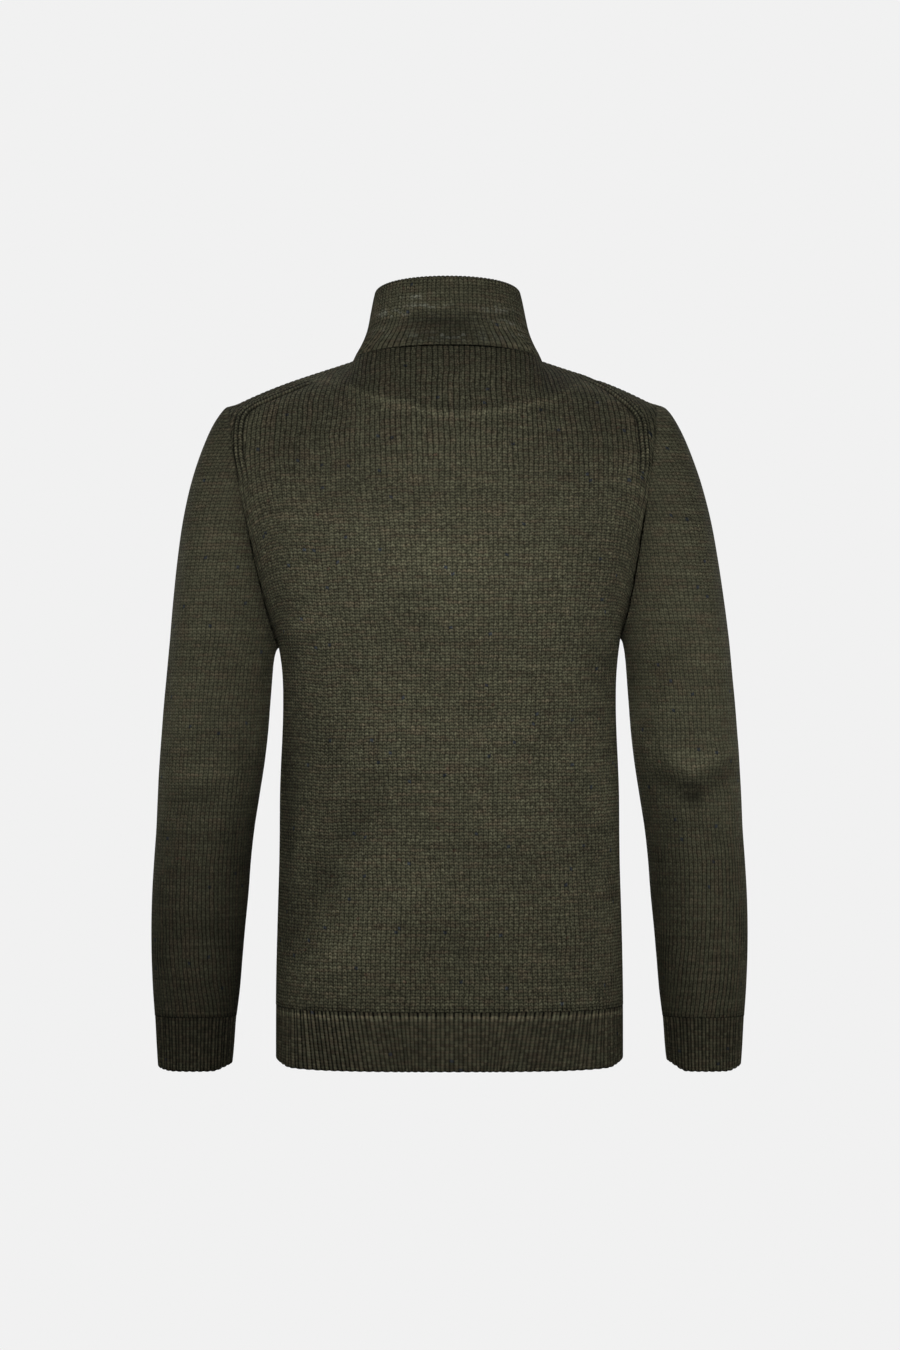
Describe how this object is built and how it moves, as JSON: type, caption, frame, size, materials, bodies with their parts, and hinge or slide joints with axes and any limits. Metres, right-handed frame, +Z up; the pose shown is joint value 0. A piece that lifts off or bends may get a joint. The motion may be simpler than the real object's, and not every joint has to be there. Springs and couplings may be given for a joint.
{
  "type": "funnel-neck sweater",
  "caption": "Chunky knitted wool sweater with a high funnel collar, long set-in sleeves and ribbed hem and cuffs, hollow and filled out as if worn.",
  "frame": {"origin": "middle of the neck opening at the height where the wearer's shoulders carry the sweater, halfway between front and back at the side seams", "axes": "+Z up, +X towards the wearer's left sleeve, +Y out of the wearer's back, so the front faces -Y"},
  "size_m": [0.6004, 0.2343, 0.7899],
  "materials": {
    "knit": "matt chunky wool knit in dark olive heather with navy and brown flecks",
    "rib": "matt ribbed wool knit, the same yarn and slightly darker"
  },
  "bodies": {
    "root": {"back": "knit", "front": "knit", "sleeve_left": "knit", "sleeve_right": "knit", "collar": "knit", "hem_back": "rib", "hem_front": "rib", "cuff_left": "rib", "cuff_right": "rib"}
  },
  "joints": []
}
